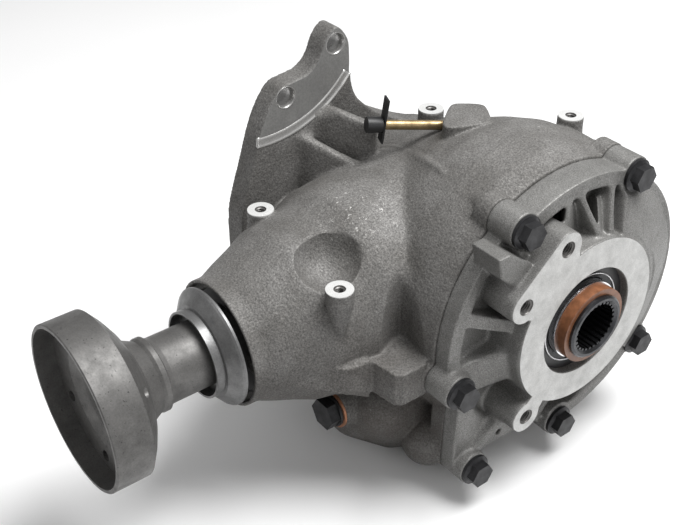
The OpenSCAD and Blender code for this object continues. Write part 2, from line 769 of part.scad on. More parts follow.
// Shim between the right bearing's cup and the floor of its seat
preload_shim_t = 2;
module preload_shim() {
    color("silver") across_input(right_bearing_x + input_bearing_w - 0.08 * input_bearing_w)
        difference() {
        cylinder(r = input_bearing_out - fit_gap, h = preload_shim_t + 0.08 * input_bearing_w);
        translate([0, 0, -cut]) cylinder(r = input_bearing_out - 5, h = 10);
    }
}

module pinion_depth_shim() {
    color("silver") along_pinion(pinion_back) difference() {
        cylinder(r = head_bearing_r + 6, h = depth_shim_t);
        translate([0, 0, -cut]) cylinder(r = head_bearing_r + fit_gap, h = 10);
    }
}

module input_shaft() {
    color("#6f7175") difference() {
        turned_input([
            [0, -shaft_stub], [stub_r - 1, -shaft_stub], [stub_r, 1 - shaft_stub], [stub_r, -4],
                [input_bearing_r - 1, -2],
            [input_bearing_r, 0], [input_bearing_r, left_bearing_x + input_bearing_w],
            [shoulder_r, left_bearing_x + input_bearing_w], [shoulder_r,
                left_bearing_x + input_bearing_w + 4],
            [shaft_r, left_bearing_x + input_bearing_w + 8], [shaft_r, ring_back_x - 22],
            [ring_bore_r - fit_gap, ring_back_x - 8], [ring_bore_r - fit_gap, ring_back_x],
            [ring_bolt_circle + 9, ring_back_x], [ring_bolt_circle + 9, ring_back_x + ring_flange_t],
            [shoulder_r + 3, ring_back_x + ring_flange_t], [shoulder_r, ring_back_x + ring_flange_t + 4],
            [shoulder_r, right_bearing_x], [input_bearing_r, right_bearing_x],
            [input_bearing_r, right_bearing_x + input_bearing_w + 1], [shaft_seal_r,
                right_bearing_x + input_bearing_w + 2],
            [shaft_seal_r, sleeve_end_x - 12], [shaft_end_r, sleeve_end_x - 12], [shaft_end_r,
                shaft_end_x - 1.2],
            [shaft_end_r - 1.2, shaft_end_x], [0, shaft_end_x]
        ]);
        across_input(-shaft_stub - cut) cylinder(r = spline_bore_r - 1, h = 300);
        // inner splines at the cover end
        across_input(shaft_end_x - inner_spline_l) linear_extrude(60) {
            circle(r = spline_bore_r);
            for (i = [0:spline_count - 1]) rotate(i * 360 / spline_count)
                translate([spline_bore_r - 1, -0.85]) square([spline_d + 1, 1.7]);
        }
        across_input(shaft_end_x - 1.6) cylinder(r1 = spline_bore_r + spline_d,
            r2 = spline_bore_r + spline_d + 1.7, h = 1.7);
        // outer splines of the stub
        across_input(-shaft_stub - cut) linear_extrude(shaft_stub - 8) for (i = [0:spline_count - 1])
            rotate(i * 360 / spline_count) translate([stub_r - spline_d, -1]) square([4, 2]);
        for (i = [0:ring_bolt_count - 1]) across_input(ring_back_x - cut)
            rotate([0, 0, i * 360 / ring_bolt_count])
            translate([ring_bolt_circle, 0, 0]) cylinder(r = ring_bolt_r + 0.3,
                h = ring_flange_t + 2 * cut);
    }
}

// Involute in degrees, and half the space between two teeth as an angle at height h
function inv(a) = tan(a) * 180 / PI - a;
function space_half(teeth, cone, h) =
    let (virtual_r = cone_l * tan(cone))
    let (base_r = virtual_r * cos(pressure_angle))
    let (r = max(virtual_r + h, base_r + 0.01))
    let (tooth = 90 * cos(cone) / teeth + inv(pressure_angle) - inv(acos(base_r / r)))
    let (arc = (virtual_r + h) * (180 * cos(cone) / teeth - tooth) * PI / 180 + tooth_play)
    arc / (cone_l * sin(cone) + h * cos(cone)) * 180 / PI;

// One tooth space swept from the inner to the outer end of the teeth
module tooth_space(teeth, cone, twist, steps) {
    heights = [-dedendum, -0.35 * dedendum, 0, 0.5 * addendum, addendum + 0.8];
    n = len(heights);
    ring = 2 * n;
    function side(share, turn, i) =
        let (k = i < n ? i : ring - 1 - i)
        let (p = cone_point(cone, share, heights[k]))
        let (a = turn + (i < n ? -1 : 1) * space_half(teeth, cone, heights[k]))
        [p[0] * cos(a), p[0] * sin(a), p[1]];
    first = inner_share - 0.03;
    last = 1.03;
    points = [for (s = [0:steps], i = [0:ring - 1])
        let (share = first + (last - first) * s / steps)
        side(share, twist * (share - 1) / (1 - inner_share), i)];
    faces = concat(
        [[for (i = [0:ring - 1]) i]],
        [for (s = [0:steps - 1], i = [0:ring - 1]) let (j = (i + 1) % ring)
            [s * ring + i, (s + 1) * ring + i, (s + 1) * ring + j, s * ring + j]],
        [[for (i = [ring - 1:-1:0]) steps * ring + i]]
    );
    polyhedron(points = points, faces = faces, convexity = 4);
}

ring_phase = 0;
module ring_gear() {
    tip_in = cone_point(ring_cone, inner_share, addendum);
    tip_out = cone_point(ring_cone, 1, addendum);
    back_out = cone_point(ring_cone, 1, -3 * gear_module);
    root_in = cone_point(ring_cone, inner_share, -dedendum);
    color("#85878a") difference() {
        across_input(pinion_x) rotate_extrude() polygon([
            tip_in, tip_out, back_out, [back_out[0], ring_back_x - pinion_x], [ring_bore_r,
                ring_back_x - pinion_x],
            [ring_bore_r, root_in[1] + 6], [root_in[0] - 1.5, root_in[1] + 2]
        ]);
        for (i = [0:ring_teeth - 1]) across_input(pinion_x)
            rotate([0, 0, ring_phase + i * 360 / ring_teeth])
            tooth_space(ring_teeth, ring_cone, spiral, 2);
        for (i = [0:ring_bolt_count - 1]) across_input(ring_back_x - ring_bolt_depth)
            rotate([0, 0, i * 360 / ring_bolt_count])
            translate([ring_bolt_circle, 0, 0]) cylinder(r = ring_bolt_r, h = ring_bolt_depth + cut);
    }
}

module ring_gear_bolts() {
    color("#2b2b2d") for (i = [0:ring_bolt_count - 1]) across_input(ring_back_x)
        rotate([0, 0, i * 360 / ring_bolt_count])
        translate([ring_bolt_circle, 0, 0]) {
            translate([0, 0, 1 - ring_bolt_depth]) cylinder(r = ring_bolt_r - fit_gap,
                h = ring_bolt_depth + ring_flange_t - 1 + fit_gap);
            translate([0, 0, ring_flange_t]) cylinder(r = ring_bolt_head_r, h = ring_bolt_head_h,
                $fn = 6);
        }
}

// Toothed head of the pinion: sections through all its teeth, from the inner to the outer end
module toothed_head(teeth, cone, twist, steps, core_r, front, back) {
    heights = [-dedendum, -0.3 * dedendum, 0.4 * addendum, addendum];
    n = len(heights);
    per_tooth = 2 * n;
    ring = per_tooth * teeth;
    phase = ring_teeth % 2 == 1 ? 0.5 : 0;
    function tooth_point(share, i) =
        let (j = i % per_tooth)
        let (k = j < n ? j : per_tooth - 1 - j)
        let (p = cone_point(cone, share, heights[k]))
        let (half = 180 / teeth - space_half(teeth, cone, heights[k]))
        let (middle = (floor(i / per_tooth) + phase) * 360 / teeth)
        let (a = middle + (j < n ? -half : half) + twist * (share - 1) / (1 - inner_share))
        [p[0] * cos(a), p[0] * sin(a), p[1]];
    function core_point(z, i) = [core_r * cos(i * 360 / ring - 180 / teeth + phase * 360 / teeth),
        core_r * sin(i * 360 / ring - 180 / teeth + phase * 360 / teeth), z];
    turn_in = -twist / (360 / ring);
    points = concat(
        [for (i = [0:ring - 1]) core_point(front, i + turn_in)],
        [for (s = [0:steps], i = [0:ring - 1]) tooth_point(inner_share + (1 - inner_share) * s / steps,
            i)],
        [for (i = [0:ring - 1]) core_point(back, i)]
    );
    faces = concat(
        [[for (i = [0:ring - 1]) i]],
        [for (s = [0:steps + 1], i = [0:ring - 1]) let (j = (i + 1) % ring)
            [s * ring + i, (s + 1) * ring + i, (s + 1) * ring + j, s * ring + j]],
        [[for (i = [ring - 1:-1:0]) (steps + 2) * ring + i]]
    );
    polyhedron(points = points, faces = faces, convexity = 6);
}

module bevel_pinion() {
    front = cone_point(pinion_cone, inner_share, addendum)[1] - 1;
    core_r = head_bearing_r - 8;
    color("#6f7175") difference() {
        union() {
            along_pinion(0) toothed_head(pinion_teeth, pinion_cone, -spiral * ring_teeth / pinion_teeth,
                3,
                core_r, front, pinion_back - 1);
            turned_pinion([
                [0, front + 1], [core_r - 2, front + 1], [core_r - 2, pinion_back - 6],
                    [head_bearing_r + 3, pinion_back - 6],
                [head_bearing_r + 3, pinion_back], [head_bearing_r, pinion_back],
                [head_bearing_r, head_bearing_h + head_bearing_w],
                [tail_bearing_r + 0.4, head_bearing_h + head_bearing_w + 4], [tail_bearing_r + 0.4,
                    tail_bearing_h - 12],
                [tail_bearing_r, tail_bearing_h - 11], [tail_bearing_r,
                    tail_bearing_h + tail_bearing_w - 1],
                [spline_shaft_r, tail_bearing_h + tail_bearing_w], [spline_shaft_r, nut_seat_h - 3],
                [thread_r, nut_seat_h - 2], [thread_r, nut_seat_h + nut_h + 3], [thread_r - 1.5,
                    nut_seat_h + nut_h + 4.5],
                [0, nut_seat_h + nut_h + 4.5]
            ]);
        }
        along_pinion(tail_bearing_h + tail_bearing_w + 2)
            linear_extrude(nut_seat_h - 5 - tail_bearing_h - tail_bearing_w)
            for (i = [0:spline_count - 1]) rotate(i * 360 / spline_count)
                translate([spline_shaft_r - 1, -0.7]) square([4, 1.4]);
    }
}

module collapsible_spacer() {
    gap = tail_bearing_h - head_bearing_h - head_bearing_w;
    color("silver") along_pinion(head_bearing_h + head_bearing_w) rotate_extrude() polygon([
        [head_bearing_r + 0.3, 0], [head_bearing_r + 2.3, 0], [head_bearing_r + 2.3, 0.42 * gap],
        [head_bearing_r + 5, 0.5 * gap], [head_bearing_r + 2.3, 0.58 * gap], [head_bearing_r + 2.3, gap],
        [head_bearing_r + 0.3, gap], [head_bearing_r + 0.3, 0.58 * gap], [head_bearing_r + 2.6,
            0.5 * gap],
        [head_bearing_r + 0.3, 0.42 * gap]
    ]);
}

module pinion_nut() {
    color("#9a8f5a") along_pinion(nut_seat_h) difference() {
        union() {
            cylinder(r = 18.5, h = 2);
            cylinder(r = 18, h = nut_h, $fn = 6);
        }
        translate([0, 0, -cut]) cylinder(r = thread_r + fit_gap, h = nut_h + 2 * cut);
    }
}

module output_flange() {
    color("#8c8e90") difference() {
        turned_pinion([
            [spline_shaft_r + fit_gap, tail_bearing_h + tail_bearing_w], [neck_r,
                tail_bearing_h + tail_bearing_w],
            [neck_r, neck_end - 12], [neck_r + 0.8, neck_end - 9], [neck_r + 2.5, neck_end - 8],
                [neck_r + 2.5, neck_end - 5],
            [neck_r + 1.6, neck_end - 3], [27, neck_end + 5.7], [37, flange_face - 33], [45.4,
                flange_face - 28],
            [flange_r, flange_face - flange_rim_w], [flange_r, flange_face - 0.6], [flange_r - 0.6,
                flange_face],
            [flange_r - flange_wall, flange_face], [flange_r - flange_wall, web_h], [34, web_h - 1.5], [26, web_h - 5], [nut_recess_r,
                web_h - 9],
            [nut_recess_r, nut_seat_h], [spline_shaft_r + fit_gap, nut_seat_h]
        ]);
        for (i = [0:flange_hole_count - 1]) along_pinion(flange_face - 40)
            rotate([0, 0, flange_hole_turn + i * 360 / flange_hole_count])
            translate([flange_bolt_r, 0, 0]) cylinder(r = flange_hole_r, h = 60);
    }
}

module dust_shield() {
    color("#a2a4a5") turned_pinion([
        [neck_r + fit_gap, snout_end + 3.5], [shield_r, snout_end + 3.5], [shield_r, snout_end + 5],
            [37.4, snout_end + 6.2],
        [30, snout_end + 12], [28, snout_end + 12.5], [28, snout_end + 18], [26.6, snout_end + 18],
        [26.6, snout_end + 11], [neck_r + fit_gap, snout_end + 11]
    ]);
}

module seal_sleeve() {
    color("#d5d7d8") across_input(sleeve_end_x - 12) difference() {
        cylinder(r = sleeve_r, h = 12);
        translate([0, 0, -cut]) cylinder(r = shaft_end_r + fit_gap, h = 20);
    }
}

module dust_ring() {
    color("#a85a2a") across_input(sleeve_end_x) difference() {
        cylinder(r = dust_ring_r, h = 7.5);
        translate([0, 0, -cut]) cylinder(r = shaft_end_r + fit_gap, h = 20);
    }
}

module drain_washer() {
    color("#b06a3a") translate([drain_x, -drain_face, drain_z]) rotate([90, 0, 0]) difference() {
        cylinder(r = drain_boss_r - 1, h = 1.6);
        translate([0, 0, -cut]) cylinder(r = drain_plug_r + fit_gap, h = 4);
    }
}

module drain_plug() {
    color("#3b3a38") translate([drain_x, -drain_face - 1.6, drain_z]) rotate([90, 0, 0]) {
        translate([0, 0, -14]) cylinder(r = drain_plug_r - fit_gap, h = 14 + fit_gap);
        cylinder(r = drain_plug_r + 2.5, h = 2);
        cylinder(r = 11, h = 9, $fn = 6);
    }
}

module at_breather() {
    translate([vent_at[0], vent_at[1], tube_z]) rotate([0, 90 - tube_tilt, tube_dir]) children();
}

module breather_tube() {
    color("#b5934c") at_breather() difference() {
        translate([0, 0, 6]) cylinder(r = tube_r - fit_gap, h = vent_side + tube_l);
        translate([0, 0, 5]) cylinder(r = tube_r - 1, h = tube_l + 40);
    }
}

module breather_cap() {
    color("#1c1c1c") at_breather() translate([0, 0, vent_side + tube_l]) difference() {
        cylinder(r = cap_r, h = 10);
        translate([0, 0, -cut]) cylinder(r = tube_r + fit_gap, h = 7 + cut);
    }
}

module breather_clip() {
    color("#1c1c1c") at_breather() translate([-18.5, -4.4, vent_side + tube_l - 1.7]) difference() {
        cube([30, 8.8, 1.2]);
        translate([18.5, 4.4, -cut]) cylinder(r = tube_r + fit_gap, h = 4);
    }
}

main_housing();
side_cover();
cover_bolts();
cover_dowels();
gearbox_dowels();
spigot_seal();
gearbox_side_seal();
cover_side_seal();
seal_spring();
left_bearing_cup();
right_bearing_cup();
preload_shim();
head_bearing_cup();
tail_bearing_cup();
pinion_depth_shim();
pinion_seal();
drain_plug();
drain_washer();
breather_tube();
breather_cap();
breather_clip();
input_shaft();
ring_gear();
ring_gear_bolts();
left_bearing_cone();
right_bearing_cone();
dust_ring();
seal_sleeve();
bevel_pinion();
head_bearing_cone();
tail_bearing_cone();
collapsible_spacer();
pinion_nut();
output_flange();
dust_shield();
left_rollers();
left_cage();
right_rollers();
right_cage();
head_rollers();
head_cage();
tail_rollers();
tail_cage();
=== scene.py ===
# Looks of the power transfer unit: cast surfaces, machined faces, steel, rubber and brass,
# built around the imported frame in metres. The camera stands where the photograph was taken.
import json
import math
import bpy
import bmesh
import numpy as np
from mathutils import Matrix, Vector


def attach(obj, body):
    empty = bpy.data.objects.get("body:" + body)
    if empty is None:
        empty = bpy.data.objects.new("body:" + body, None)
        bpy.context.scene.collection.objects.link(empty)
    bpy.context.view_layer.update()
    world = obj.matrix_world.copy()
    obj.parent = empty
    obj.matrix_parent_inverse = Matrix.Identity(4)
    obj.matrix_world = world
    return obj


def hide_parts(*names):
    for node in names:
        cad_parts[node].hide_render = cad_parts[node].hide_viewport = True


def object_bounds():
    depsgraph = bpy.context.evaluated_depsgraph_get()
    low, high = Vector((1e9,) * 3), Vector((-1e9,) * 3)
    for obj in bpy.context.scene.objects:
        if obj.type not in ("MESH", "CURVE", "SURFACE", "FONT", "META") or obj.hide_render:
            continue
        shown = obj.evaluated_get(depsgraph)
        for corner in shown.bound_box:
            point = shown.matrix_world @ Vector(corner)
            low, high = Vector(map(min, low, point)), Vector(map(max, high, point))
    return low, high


MM = 0.001
ACROSS = (1, 0, 0)  # the input axis
ALONG_Y = (0, 1, 0)
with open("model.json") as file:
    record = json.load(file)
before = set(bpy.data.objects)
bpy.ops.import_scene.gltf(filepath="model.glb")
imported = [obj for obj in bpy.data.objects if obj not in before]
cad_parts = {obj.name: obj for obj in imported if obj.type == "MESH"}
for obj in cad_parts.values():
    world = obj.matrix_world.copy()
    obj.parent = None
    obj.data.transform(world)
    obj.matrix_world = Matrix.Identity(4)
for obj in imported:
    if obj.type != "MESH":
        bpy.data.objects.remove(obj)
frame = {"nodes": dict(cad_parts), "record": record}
cad_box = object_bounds()
nodes = frame["nodes"]


# Materials

def new_material(name, base, rough, metal):
    """An empty procedural material with its shader's plain values set."""
    mat = bpy.data.materials.new(name)
    mat.use_nodes = True
    shader = mat.node_tree.nodes["Principled BSDF"]
    shader.inputs["Base Color"].default_value = (*base, 1)
    shader.inputs["Roughness"].default_value = rough
    shader.inputs["Metallic"].default_value = metal
    return mat, mat.node_tree, shader


def put(tree, kind, inputs=None, **props):
    """Adds a shader node, sets its properties and its unlinked inputs."""
    node = tree.nodes.new(kind)
    for key, value in props.items():
        setattr(node, key, value)
    for key, value in (inputs or {}).items():
        if isinstance(value, bpy.types.NodeSocket):
            tree.links.new(value, node.inputs[key])
        else:
            node.inputs[key].default_value = value
    return node


def noise(tree, size_mm, detail, rough, distort=0.0):
    """Noise whose features are about size_mm across, fixed to the object."""
    place = put(tree, "ShaderNodeTexCoord").outputs["Object"]
    return put(tree, "ShaderNodeTexNoise", {
        "Vector": place, "Scale": 1 / (size_mm * MM), "Detail": detail, "Roughness": rough,
        "Distortion": distort}).outputs["Fac"]


def ramp(tree, fac, stops):
    """Colour ramp from stops of (place, colour or grey)."""
    node = put(tree, "ShaderNodeValToRGB", {"Fac": fac})
    elements = node.color_ramp.elements
    while len(elements) > 1:
        elements.remove(elements[-1])
    for i, (place, colour) in enumerate(stops):
        element = elements[0] if i == 0 else elements.new(place)
        element.position = place
        element.color = (*colour, 1) if hasattr(colour, "__len__") else (colour, colour, colour, 1)
    return node.outputs["Color"]


def mix(tree, fac, a, b, how="MIX"):
    """Mixes two colours."""
    node = put(tree, "ShaderNodeMix", data_type="RGBA", blend_type=how)
    for socket, value in ((node.inputs[0], fac), (node.inputs[6], a), (node.inputs[7], b)):
        if isinstance(value, bpy.types.NodeSocket):
            tree.links.new(value, socket)
        elif socket == node.inputs[0]:
            socket.default_value = value
        else:
            socket.default_value = (*value, 1)
    return node.outputs[2]


def bump(tree, shader, layers):
    """Chains bump layers of (height socket, depth in mm)."""
    normal = None
    for height, depth in layers:
        inputs = {"Height": height, "Strength": 1.0, "Distance": depth * MM}
        if normal is not None:
            inputs["Normal"] = normal
        normal = put(tree, "ShaderNodeBump", inputs).outputs["Normal"]
    tree.links.new(normal, shader.inputs["Normal"])


def worn_spot(tree, amount):
    """Share of scuffing: strongest on top of the snout, faint elsewhere."""
    snout_top = (0.090, -0.095, 0.066)
    full_within, none_beyond = 0.012, 0.042
    place = put(tree, "ShaderNodeTexCoord").outputs["Object"]
    gap = put(tree, "ShaderNodeVectorMath", {0: place, 1: snout_top}, operation="DISTANCE").outputs["Value"]
    near = put(tree, "ShaderNodeMapRange", {
        "Value": gap, "From Min": full_within, "From Max": none_beyond, "To Min": amount,
        "To Max": 0.0}).outputs[0]
    rest = ramp(tree, noise(tree, 34, 2, 0.5), [(0.58, 0.0), (0.68, 0.4 * amount)])
    return put(tree, "ShaderNodeMath", {0: near, 1: rest}, operation="MAXIMUM").outputs[0]


def cast_metal(name, dark, mid, light, rough, metal, grain, depth, scuffs, stain=None):
    """Cast alloy: even tone with soft clouds, fine sand grain, worn pale patches and small dark pits.
    Grain is its size in mm, depth that of its bumps, and stain a colour that gathers on the low parts."""
    stain_starts, stain_full = 0.030, -0.075
    bare_alloy = (0.62, 0.61, 0.59)
    mat, tree, shader = new_material(name, mid, rough, metal)
    cloud = noise(tree, 32, 4, 0.6)
    tone = ramp(tree, cloud, [(0.32, dark), (0.5, mid), (0.68, light)])
    fine = noise(tree, grain, 3, 0.7)
    tone = mix(tree, 0.8, tone, ramp(tree, fine, [(0.34, 0.45), (0.5, 0.92), (0.66, 1.45)]), "MULTIPLY")
    if stain:
        place = put(tree, "ShaderNodeTexCoord").outputs["Object"]
        height = put(tree, "ShaderNodeSeparateXYZ", {"Vector": place}).outputs["Z"]
        depth_below = put(tree, "ShaderNodeMapRange", {
            "Value": height, "From Min": stain_starts, "From Max": stain_full, "To Min": 0.0,
            "To Max": 0.85}).outputs[0]
        patch = ramp(tree, noise(tree, 38, 3, 0.6, distort=0.5), [(0.40, 0.15), (0.62, 1.0)])
        where = put(tree, "ShaderNodeMath", {0: depth_below, 1: patch}, operation="MULTIPLY").outputs[0]
        tone = mix(tree, where, tone, mix(tree, 0.75, tone, stain))
    worn = put(tree, "ShaderNodeMath", {
        0: ramp(tree, noise(tree, 2.4, 3, 0.65, distort=1.2), [(0.62, 0.0), (0.69, 1.0)]),
        1: worn_spot(tree, scuffs)}, operation="MULTIPLY").outputs[0]
    tone = mix(tree, worn, tone, bare_alloy)
    pits = ramp(tree, noise(tree, 1.5, 1, 0.5), [(0.24, 0.7), (0.29, 0.0)])
    tone = mix(tree, pits, tone, tuple(0.45 * c for c in dark))
    tree.links.new(tone, shader.inputs["Base Color"])
    gloss = ramp(tree, fine, [(0.3, rough + 0.14), (0.7, rough - 0.12)])
    tree.links.new(gloss, shader.inputs["Roughness"])
    bump(tree, shader, [
        (noise(tree, 5, 2, 0.6), 0.18), (noise(tree, 2.0, 2, 0.6), depth * 5), (fine, depth * 2)])
    return mat


def steel(name, base, rough=0.38, metal=0.9, size=3.0, spread=0.25, depth=0.01, pits=0.0):
    """Machined or coated steel: soft tone changes by spread, fine marks depth mm deep and a few dark pits."""
    mat, tree, shader = new_material(name, base, rough, metal)
    cloud = noise(tree, size * 3, 4, 0.6)
    low = tuple(c * (1 - spread) for c in base)
    high = tuple(min(1, c * (1 + spread)) for c in base)
    tone = ramp(tree, cloud, [(0.3, low), (0.7, high)])
    fine = noise(tree, size * 0.25, 2, 0.6)
    tone = mix(tree, 0.5, tone, ramp(tree, fine, [(0.3, 0.72), (0.7, 1.2)]), "MULTIPLY")
    if pits:
        where = ramp(tree, noise(tree, 1.6, 2, 0.6), [(0.27, pits), (0.34, 0.0)])
        tone = mix(tree, where, tone, tuple(0.2 * c for c in base))
    tree.links.new(tone, shader.inputs["Base Color"])
    tree.links.new(ramp(tree, cloud, [(0.3, rough + 0.1), (0.7, rough - 0.08)]), shader.inputs["Roughness"])
    bump(tree, shader, [(fine, depth)])
    return mat


def rubber(name, base, rough):
    """Moulded rubber or plastic with a faint grain."""
    mat, tree, shader = new_material(name, base, rough, 0.0)
    fine = noise(tree, 0.6, 2, 0.6)
    low, high = (tuple(share * c for c in base) for share in (0.7, 1.35))
    tone = ramp(tree, noise(tree, 5, 3, 0.6), [(0.3, low), (0.7, high)])
    tree.links.new(tone, shader.inputs["Base Color"])
    bump(tree, shader, [(fine, 0.02)])
    return mat


looks = {
    "cast_housing": cast_metal(
        "housing_cast", (0.122, 0.117, 0.110), (0.156, 0.151, 0.144), (0.196, 0.191, 0.184),
        rough=0.62, metal=0.2, grain=1.1, depth=0.09, scuffs=0.8, stain=(0.060, 0.048, 0.040)),
    "cast_cover": cast_metal(
        "cover_cast", (0.175, 0.172, 0.165), (0.215, 0.212, 0.204), (0.26, 0.257, 0.249),
        rough=0.5, metal=0.35, grain=0.7, depth=0.03, scuffs=0.3),
    "black_bolt": steel("bolt_black", (0.030, 0.030, 0.032), 0.42, 0.6, 2.0, 0.4, 0.01),
    "bright_steel": steel("steel_bright", (0.60, 0.60, 0.61), 0.28),
    "gear_steel": steel("steel_shaft", (0.055, 0.056, 0.06), 0.3),
    "flange_steel": steel("flange_steel", (0.135, 0.132, 0.128), 0.5, 0.55, 4.0, 0.22, 0.02, pits=0.8),
    "shield_steel": steel("shield_steel", (0.17, 0.17, 0.17), 0.42, 0.6, 4.0, 0.25, 0.015),
    "seal_rubber": rubber("seal_rubber", (0.012, 0.012, 0.013), 0.45),
    "dust_plastic": rubber("dust_ring", (0.22, 0.090, 0.042), 0.35),
    "copper": steel("washer_copper", (0.42, 0.20, 0.12), 0.45, 0.8),
    "tube_brass": steel("tube_brass", (0.36, 0.265, 0.145), 0.38, 0.8, 2.0, 0.4, 0.01),
    "chrome_sleeve": steel("sleeve_chrome", (0.78, 0.78, 0.80), 0.15, 1.0, 3.0, 0.06, 0.003),
    "nut_steel": steel("nut_zinc", (0.36, 0.32, 0.20), 0.4),
}
machined = steel("machined_alloy", (0.50, 0.50, 0.49), 0.36, 0.55, 3.0, 0.12, 0.01)
spot_face = steel("spot_face_alloy", (0.27, 0.268, 0.262), 0.42, 0.4, 5.0, 0.12, 0.01)
# Paler than the milled faces: a painted highlight on the ear's fillet and painted light on the ear holes'
# walls
painted_light_cut = steel("cut_alloy_painted_light", (0.46, 0.455, 0.445), 0.30, 0.75, 4.0, 0.15, 0.006)
# Dark finish for the tapped holes' linings: painted shade inside the holes
thread_painted_shade = steel("thread_alloy_painted_shade", (0.13, 0.125, 0.12), 0.4, 0.5, 2.0, 0.2, 0.01)
white_face = steel("boss_top_alloy", (0.72, 0.72, 0.71), 0.42, 0.35, 2.0, 0.10, 0.01)

for part in frame["record"]["subparts"]:
    nodes[part["node"]].data.materials.clear()
    nodes[part["node"]].data.materials.append(looks[part["material_slot"]])


# Makers of meshes

BLEND_ROUNDS = 130


def baked(obj):
    """Applies the object's modifiers to its own mesh."""
    graph = bpy.context.evaluated_depsgraph_get()
    mesh = bpy.data.meshes.new_from_object(obj.evaluated_get(graph), depsgraph=graph)
    obj.modifiers.clear()
    obj.data = mesh
    return obj


def new_object(name, mesh):
    obj = bpy.data.objects.new(name, mesh)
    bpy.context.scene.collection.objects.link(obj)
    return obj


def closed_object(name, points, faces):
    """Object with a closed mesh, its faces all turned outwards."""
    mesh = bpy.data.meshes.new(name)
    mesh.from_pydata([tuple(p) for p in points], [], faces)
    shell = bmesh.new()
    shell.from_mesh(mesh)
    bmesh.ops.recalc_face_normals(shell, faces=shell.faces)
    shell.to_mesh(mesh)
    shell.free()
    return new_object(name, mesh)


def lathe(name, centre, axis, profile, steps, sweep=(0.0, 360.0), zero=None):
    """Closed turned mesh from a closed section of (radius, height) in mm round an axis through centre.
    A part turn sweeps from one angle to another, counted from the direction zero."""
    axis = Vector(axis).normalized()
    side = Vector(zero or axis.orthogonal()).normalized()
    other = axis.cross(side)
    whole = sweep[1] - sweep[0] >= 360
    turns = steps if whole else steps + 1
    points, faces, count = [], [], len(profile)
    for i in range(turns):
        a = math.radians(sweep[0] + (sweep[1] - sweep[0]) * i / steps)
        out = side * math.cos(a) + other * math.sin(a)
        points += [(Vector(centre) + out * r + axis * h) * MM for r, h in profile]
    for i in range(steps):
        a, b = i * count, ((i + 1) % turns) * count
        for k in range(count):
            m = (k + 1) % count
            faces.append((a + k, b + k, b + m, a + m))
    if not whole:
        faces.append(tuple(range(count)))
        faces.append(tuple(reversed(range((turns - 1) * count, turns * count))))
    return closed_object(name, points, faces)


def joined(name, mesh, extras):
    """One mesh from a mesh and some objects, which are removed."""
    both = bmesh.new()
    both.from_mesh(mesh)
    for extra in extras:
        both.from_mesh(extra.data)
        bpy.data.objects.remove(extra)
    result = bpy.data.meshes.new(name)
    both.to_mesh(result)
    both.free()
    return result


def tube(name, points, radii, sides=12):
    """Closed tube through points in mm with a radius at each."""
    skin, faces = [], []
    stops = [Vector(p) for p in points]
    last = len(stops) - 1
    for i, (stop, radius) in enumerate(zip(stops, radii)):
        along = (stops[min(i + 1, last)] - stops[max(i - 1, 0)]).normalized()
        side = along.cross(Vector((0, 0, 1))).normalized()
        other = along.cross(side)
        for k in range(sides):
            a = 2 * math.pi * k / sides
            skin.append((stop + radius * (math.cos(a) * side + math.sin(a) * other)) * MM)
    for i in range(last):
        a, b = i * sides, (i + 1) * sides
        for k in range(sides):
            m = (k + 1) % sides
            faces.append((a + k, a + m, b + m, b + k))
    faces.append(tuple(reversed(range(sides))))
    faces.append(tuple(range(last * sides, (last + 1) * sides)))
    return closed_object(name, skin, faces)


def at_each_x(places, outline):
    """Points of an outline of (y, z), repeated at each x."""
    return [(x, y, z) for x in places for y, z in outline]


def lump(name, points):
    """Closed convex lump over points in mm."""
    shell = bmesh.new()
    for p in points:
        shell.verts.new(Vector(p) * MM)
    bmesh.ops.convex_hull(shell, input=shell.verts)
    bmesh.ops.recalc_face_normals(shell, faces=shell.faces)
    mesh = bpy.data.meshes.new(name)
    shell.to_mesh(mesh)
    shell.free()
    return new_object(name, mesh)


def soft_weights(points, balls):
    """Weight of 1 at the centre of each ball (x, y, z, radius) in mm, falling to 0 at its edge."""
    weight = np.zeros(len(points))
    for x, y, z, radius in balls:
        far = np.linalg.norm(points - np.array((x, y, z)), axis=1) / radius
        weight = np.maximum(weight, np.clip(1.6 * (1 - far), 0, 1))
    return weight


def mesh_points(mesh):
    """The mesh's points in mm, one to a row."""
    co = np.empty(len(mesh.vertices) * 3, dtype=np.float32)
    mesh.vertices.foreach_get("co", co)
    return co.reshape(-1, 3) / MM


def dented(obj, dents, spare):
    """Pushes the skin out of each ball (x, y, z, radius) in mm, but spares an upright rod (x, y, radius)."""
    points = mesh_points(obj.data)
    for x, y, z, r in dents:
        away = points - np.array((x, y, z))
        far = np.linalg.norm(away, axis=1)
        clear = np.hypot(points[:, 0] - spare[0], points[:, 1] - spare[1])
        hit = (far < r) & (far > 0.01) & (clear > spare[2])
        points[hit] += away[hit] * (r / far[hit] - 1)[:, None]
    obj.data.vertices.foreach_set("co", (points * MM).astype(np.float32).ravel())
    obj.data.update()


